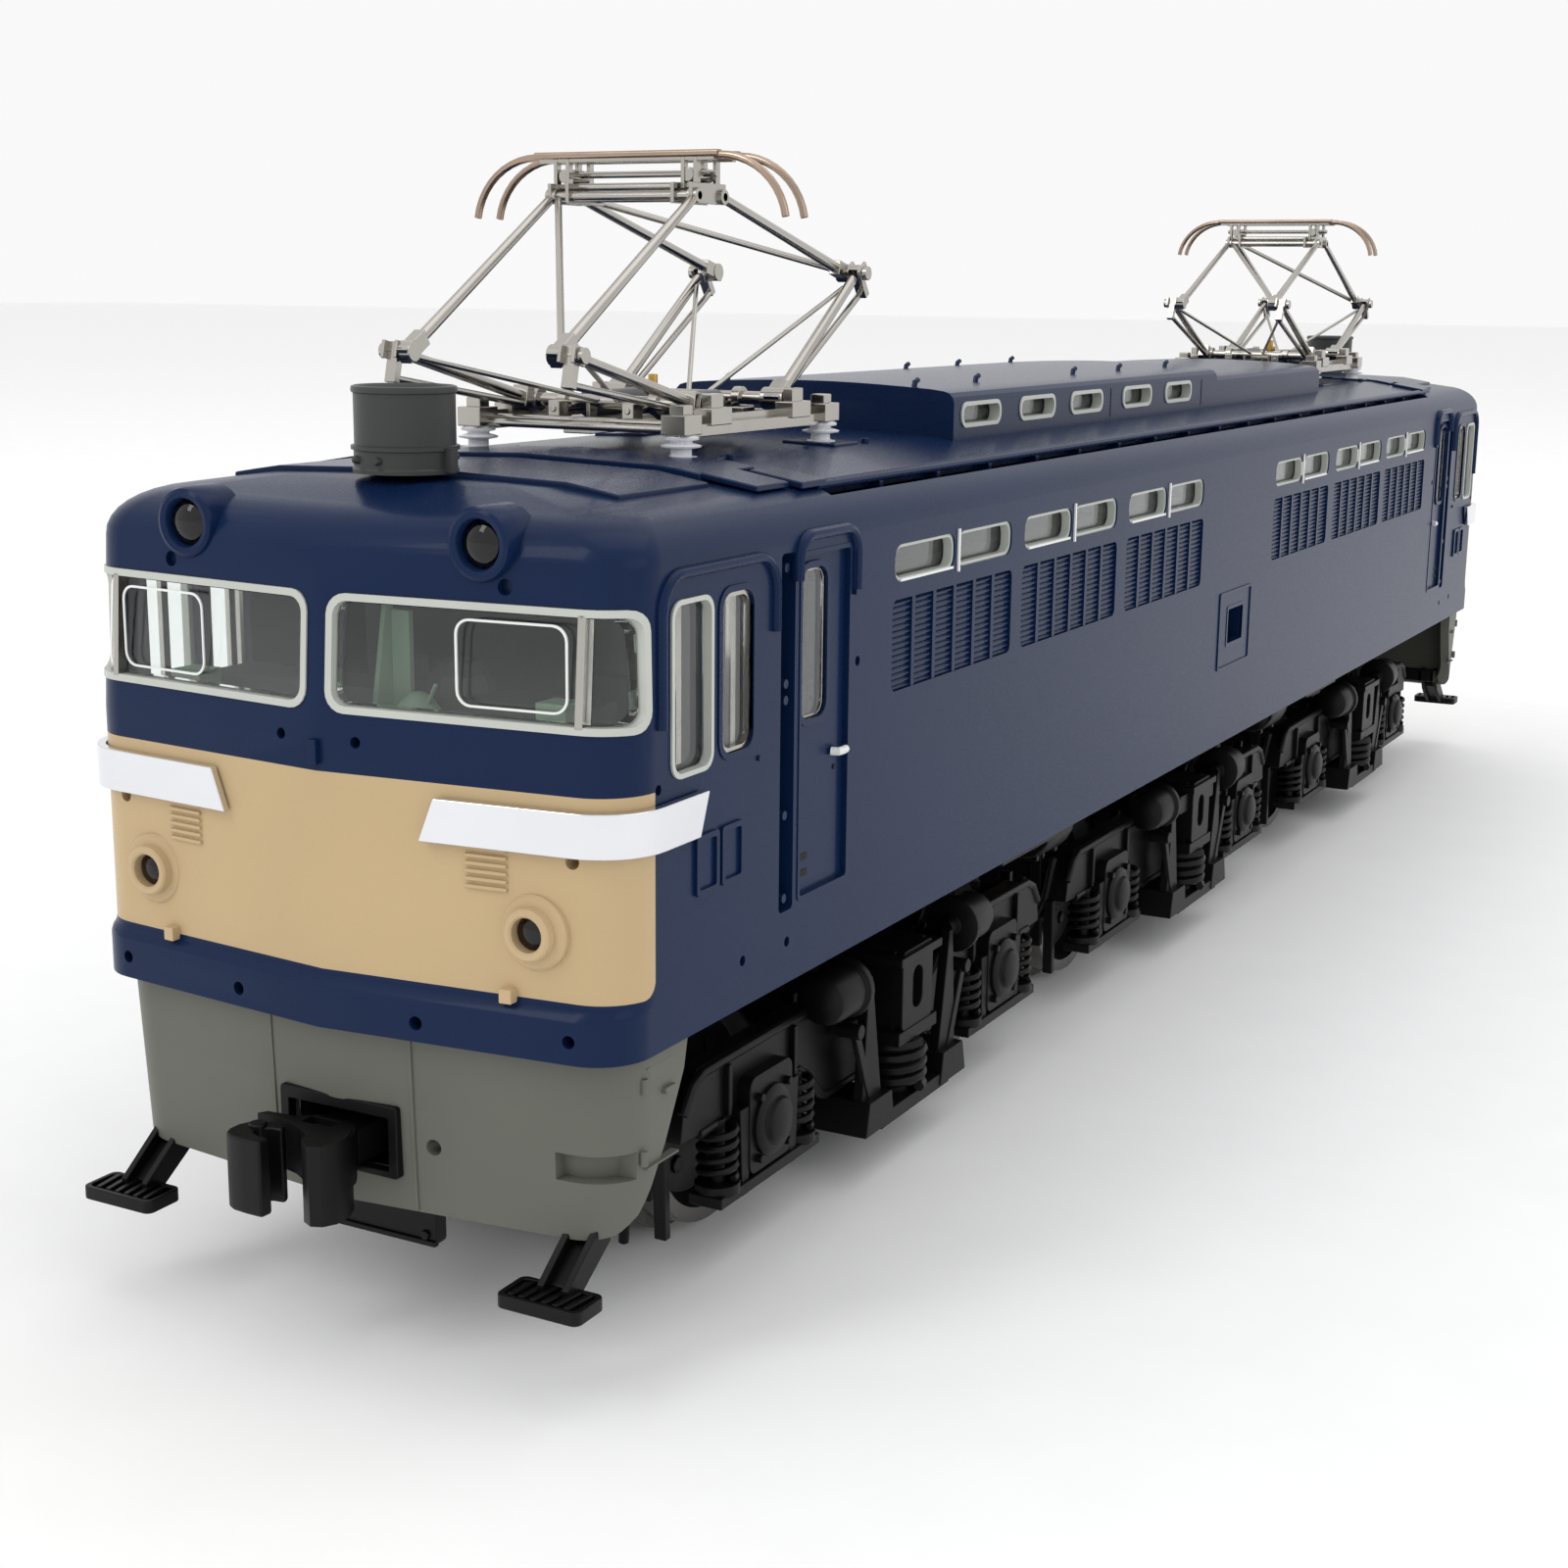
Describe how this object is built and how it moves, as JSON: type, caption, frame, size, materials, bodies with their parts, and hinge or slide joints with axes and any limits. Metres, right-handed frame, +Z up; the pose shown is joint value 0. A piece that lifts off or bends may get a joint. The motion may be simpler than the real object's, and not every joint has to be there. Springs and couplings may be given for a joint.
{
  "type": "model electric locomotive",
  "caption": "Scale model electric locomotive: box body with two cabs, two pantographs, three two-axle bogies, geared motor drive, end skirts, steps and knuckle couplers.",
  "frame": {"origin": "midway along and across the locomotive, at the height of the lowest points of the wheel flanges, 0.8 mm below the rail tops", "axes": "+Y along the track towards the rear end, +Z up, +X to the right of someone facing +Y; the front end, nearest in the picture, faces -Y"},
  "size_m": [0.0362, 0.2062, 0.0636],
  "materials": {
    "body_blue": "glossy dark blue paint with a cream band across the ends",
    "clear": "clear moulded plastic",
    "chrome": "bright plated",
    "skirt_grey": "satin grey paint",
    "whistle_grey": "satin grey paint",
    "cab_green": "matte light green",
    "black_plastic": "matte black",
    "cast_metal": "bare die casting",
    "circuit_board": "green board",
    "motor_steel": "plain steel can",
    "brass": "turned brass",
    "wheel_steel": "blackened steel with bright treads",
    "worm_plastic": "natural acetal",
    "nickel_silver": "nickel silver"
  },
  "bodies": {
    "locomotive": {"body_shell": "body_blue", "roof_monitor": "body_blue", "side_glazing_right": "clear", "side_glazing_left": "clear", "monitor_glazing_right": "clear", "monitor_glazing_left": "clear", "chassis_frame": "cast_metal", "light_board": "circuit_board", "motor_housing": "motor_steel", "cab_glazing_front": "clear", "headlight_guide_front": "clear", "tail_light_guide_front": "clear", "whistle_cover_front": "whistle_grey", "trim_front_a": "chrome", "trim_front_b": "chrome", "skirt_front": "skirt_grey", "step_bracket_front": "black_plastic", "cab_interior_front": "cab_green", "pantograph_front_base": "nickel_silver", "cab_glazing_rear": "clear", "headlight_guide_rear": "clear", "tail_light_guide_rear": "clear", "whistle_cover_rear": "whistle_grey", "trim_rear_a": "chrome", "trim_rear_b": "chrome", "skirt_rear": "skirt_grey", "step_bracket_rear": "black_plastic", "cab_interior_rear": "cab_green", "pantograph_rear_base": "nickel_silver"},
    "motor_rotor": {"motor_shaft": "brass"},
    "cardan_front": {"cardan_shaft_front": "black_plastic"},
    "cardan_rear": {"cardan_shaft_rear": "black_plastic"},
    "bogie_front": {"bogie_frame_front": "black_plastic", "bogie_keeper_front": "black_plastic"},
    "worm_front": {"worm_shaft_front": "worm_plastic"},
    "wheelset_front_leading": {"wheelset_front_leading": "wheel_steel"},
    "wheelset_front_trailing": {"wheelset_front_trailing": "wheel_steel"},
    "bogie_centre": {"bogie_frame_centre": "black_plastic", "bogie_keeper_centre": "black_plastic"},
    "wheelset_centre_leading": {"wheelset_centre_leading": "wheel_steel"},
    "wheelset_centre_trailing": {"wheelset_centre_trailing": "wheel_steel"},
    "bogie_rear": {"bogie_frame_rear": "black_plastic", "bogie_keeper_rear": "black_plastic"},
    "worm_rear": {"worm_shaft_rear": "worm_plastic"},
    "wheelset_rear_leading": {"wheelset_rear_leading": "wheel_steel"},
    "wheelset_rear_trailing": {"wheelset_rear_trailing": "wheel_steel"},
    "coupler_front": {"coupler_front": "black_plastic"},
    "knuckle_front": {"coupler_knuckle_front": "black_plastic"},
    "coupler_rear": {"coupler_rear": "black_plastic"},
    "knuckle_rear": {"coupler_knuckle_rear": "black_plastic"},
    "pantograph_front_lower_arm_a": {"pantograph_front_lower_arm_a": "nickel_silver"},
    "pantograph_front_lower_arm_b": {"pantograph_front_lower_arm_b": "nickel_silver"},
    "pantograph_front_upper_arm_a": {"pantograph_front_upper_arm_a": "nickel_silver"},
    "pantograph_front_upper_arm_b": {"pantograph_front_upper_arm_b": "nickel_silver"},
    "pantograph_front_head": {"pantograph_front_head": "nickel_silver"},
    "pantograph_rear_lower_arm_a": {"pantograph_rear_lower_arm_a": "nickel_silver"},
    "pantograph_rear_lower_arm_b": {"pantograph_rear_lower_arm_b": "nickel_silver"},
    "pantograph_rear_upper_arm_a": {"pantograph_rear_upper_arm_a": "nickel_silver"},
    "pantograph_rear_upper_arm_b": {"pantograph_rear_upper_arm_b": "nickel_silver"},
    "pantograph_rear_head": {"pantograph_rear_head": "nickel_silver"}
  },
  "joints": [
    {"name": "motor_spin", "type": "hinge", "parent": "locomotive", "child": "motor_rotor", "pos_m": [0, 0, 0.0175], "axis": [0, 1, 0], "continuous": true},
    {"name": "cardan_front_spin", "type": "hinge", "parent": "locomotive", "child": "cardan_front", "pos_m": [0, -0.0233, 0.0172], "axis": [0, 0.9536, 0.3011], "continuous": true},
    {"name": "cardan_rear_spin", "type": "hinge", "parent": "locomotive", "child": "cardan_rear", "pos_m": [0, 0.0233, 0.0172], "axis": [0, 0.9536, -0.3011], "continuous": true},
    {"name": "bogie_front_swivel", "type": "hinge", "parent": "locomotive", "child": "bogie_front", "pos_m": [0, -0.05875, 0.0183], "axis": [0, 0, 1], "range_deg": [-7, 7]},
    {"name": "worm_front_spin", "type": "hinge", "parent": "bogie_front", "child": "worm_front", "pos_m": [0, -0.05875, 0.0142], "axis": [0, 1, 0], "continuous": true},
    {"name": "wheelset_front_leading_spin", "type": "hinge", "parent": "bogie_front", "child": "wheelset_front_leading", "pos_m": [0, -0.07625, 0.0078], "axis": [1, 0, 0], "continuous": true},
    {"name": "wheelset_front_trailing_spin", "type": "hinge", "parent": "bogie_front", "child": "wheelset_front_trailing", "pos_m": [0, -0.04125, 0.0078], "axis": [1, 0, 0], "continuous": true},
    {"name": "bogie_centre_shift", "type": "slide", "parent": "locomotive", "child": "bogie_centre", "axis": [1, 0, 0], "range_m": [-0.0012, 0.0012]},
    {"name": "wheelset_centre_leading_spin", "type": "hinge", "parent": "bogie_centre", "child": "wheelset_centre_leading", "pos_m": [0, -0.0175, 0.0078], "axis": [1, 0, 0], "continuous": true},
    {"name": "wheelset_centre_trailing_spin", "type": "hinge", "parent": "bogie_centre", "child": "wheelset_centre_trailing", "pos_m": [0, 0.0175, 0.0078], "axis": [1, 0, 0], "continuous": true},
    {"name": "bogie_rear_swivel", "type": "hinge", "parent": "locomotive", "child": "bogie_rear", "pos_m": [0, 0.05875, 0.0183], "axis": [0, 0, 1], "range_deg": [-7, 7]},
    {"name": "worm_rear_spin", "type": "hinge", "parent": "bogie_rear", "child": "worm_rear", "pos_m": [0, 0.05875, 0.0142], "axis": [0, 1, 0], "continuous": true},
    {"name": "wheelset_rear_leading_spin", "type": "hinge", "parent": "bogie_rear", "child": "wheelset_rear_leading", "pos_m": [0, 0.04125, 0.0078], "axis": [1, 0, 0], "continuous": true},
    {"name": "wheelset_rear_trailing_spin", "type": "hinge", "parent": "bogie_rear", "child": "wheelset_rear_trailing", "pos_m": [0, 0.07625, 0.0078], "axis": [1, 0, 0], "continuous": true},
    {"name": "coupler_front_swing", "type": "hinge", "parent": "locomotive", "child": "coupler_front", "pos_m": [0, -0.0909, 0.0118], "axis": [0, 0, 1], "range_deg": [-10, 10]},
    {"name": "knuckle_front_open", "type": "hinge", "parent": "coupler_front", "child": "knuckle_front", "pos_m": [-0.0033, -0.1012, 0.0118], "axis": [0, 0, -1], "range_deg": [0, 25]},
    {"name": "coupler_rear_swing", "type": "hinge", "parent": "locomotive", "child": "coupler_rear", "pos_m": [0, 0.0909, 0.0118], "axis": [0, 0, 1], "range_deg": [-10, 10]},
    {"name": "knuckle_rear_open", "type": "hinge", "parent": "coupler_rear", "child": "knuckle_rear", "pos_m": [0.0033, 0.1012, 0.0118], "axis": [0, 0, -1], "range_deg": [0, 25]},
    {"name": "pantograph_front_raise", "type": "hinge", "parent": "locomotive", "child": "pantograph_front_lower_arm_a", "pos_m": [0, -0.0713, 0.049], "axis": [-1, 0, 0], "range_deg": [-10, 16]},
    {"name": "pantograph_front_lower_arm_b_swing", "type": "hinge", "parent": "locomotive", "child": "pantograph_front_lower_arm_b", "pos_m": [0, -0.0613, 0.049], "axis": [1, 0, 0], "range_deg": [-10, 16]},
    {"name": "pantograph_front_upper_arm_a_swing", "type": "hinge", "parent": "pantograph_front_lower_arm_a", "child": "pantograph_front_upper_arm_a", "pos_m": [0, -0.08433, 0.05213], "axis": [1, 0, 0], "range_deg": [-18.4, 29.3]},
    {"name": "pantograph_front_upper_arm_b_swing", "type": "hinge", "parent": "pantograph_front_lower_arm_b", "child": "pantograph_front_upper_arm_b", "pos_m": [0, -0.05038, 0.05676], "axis": [-1, 0, 0], "range_deg": [-18.7, 29.9]},
    {"name": "pantograph_front_head_level", "type": "hinge", "parent": "pantograph_front_upper_arm_a", "child": "pantograph_front_head", "pos_m": [0, -0.06984, 0.06101], "axis": [-1, 0, 0], "range_deg": [-8.4, 13.3]},
    {"name": "pantograph_rear_raise", "type": "hinge", "parent": "locomotive", "child": "pantograph_rear_lower_arm_a", "pos_m": [0, 0.0613, 0.049], "axis": [-1, 0, 0], "range_deg": [-16, 16]},
    {"name": "pantograph_rear_lower_arm_b_swing", "type": "hinge", "parent": "locomotive", "child": "pantograph_rear_lower_arm_b", "pos_m": [0, 0.0713, 0.049], "axis": [1, 0, 0], "range_deg": [-16, 16]},
    {"name": "pantograph_rear_upper_arm_a_swing", "type": "hinge", "parent": "pantograph_rear_lower_arm_a", "child": "pantograph_rear_upper_arm_a", "pos_m": [0, 0.0491, 0.05454], "axis": [1, 0, 0], "range_deg": [-29.6, 29.6]},
    {"name": "pantograph_rear_upper_arm_b_swing", "type": "hinge", "parent": "pantograph_rear_lower_arm_b", "child": "pantograph_rear_upper_arm_b", "pos_m": [0, 0.0835, 0.05454], "axis": [-1, 0, 0], "range_deg": [-29.6, 29.6]},
    {"name": "pantograph_rear_head_level", "type": "hinge", "parent": "pantograph_rear_upper_arm_a", "child": "pantograph_rear_head", "pos_m": [0, 0.0648, 0.06105], "axis": [-1, 0, 0], "range_deg": [-13.6, 13.6]}
  ],
  "couplings": [
    {"joint": "cardan_front_spin", "follows": "motor_spin", "ratio": 1},
    {"joint": "cardan_rear_spin", "follows": "motor_spin", "ratio": 1},
    {"joint": "worm_front_spin", "follows": "motor_spin", "ratio": 1},
    {"joint": "wheelset_front_leading_spin", "follows": "motor_spin", "ratio": 0.0625},
    {"joint": "wheelset_front_trailing_spin", "follows": "motor_spin", "ratio": 0.0625},
    {"joint": "worm_rear_spin", "follows": "motor_spin", "ratio": 1},
    {"joint": "wheelset_rear_leading_spin", "follows": "motor_spin", "ratio": 0.0625},
    {"joint": "wheelset_rear_trailing_spin", "follows": "motor_spin", "ratio": 0.0625},
    {"joint": "pantograph_front_lower_arm_b_swing", "follows": "pantograph_front_raise", "ratio": 1},
    {"joint": "pantograph_front_upper_arm_a_swing", "follows": "pantograph_front_raise", "ratio": 1.8219},
    {"joint": "pantograph_front_upper_arm_b_swing", "follows": "pantograph_front_raise", "ratio": 1.8594},
    {"joint": "pantograph_front_head_level", "follows": "pantograph_front_raise", "ratio": 0.8219},
    {"joint": "pantograph_rear_lower_arm_b_swing", "follows": "pantograph_rear_raise", "ratio": 1},
    {"joint": "pantograph_rear_upper_arm_a_swing", "follows": "pantograph_rear_raise", "ratio": 1.8388},
    {"joint": "pantograph_rear_upper_arm_b_swing", "follows": "pantograph_rear_raise", "ratio": 1.8388},
    {"joint": "pantograph_rear_head_level", "follows": "pantograph_rear_raise", "ratio": 0.8388}
  ]
}
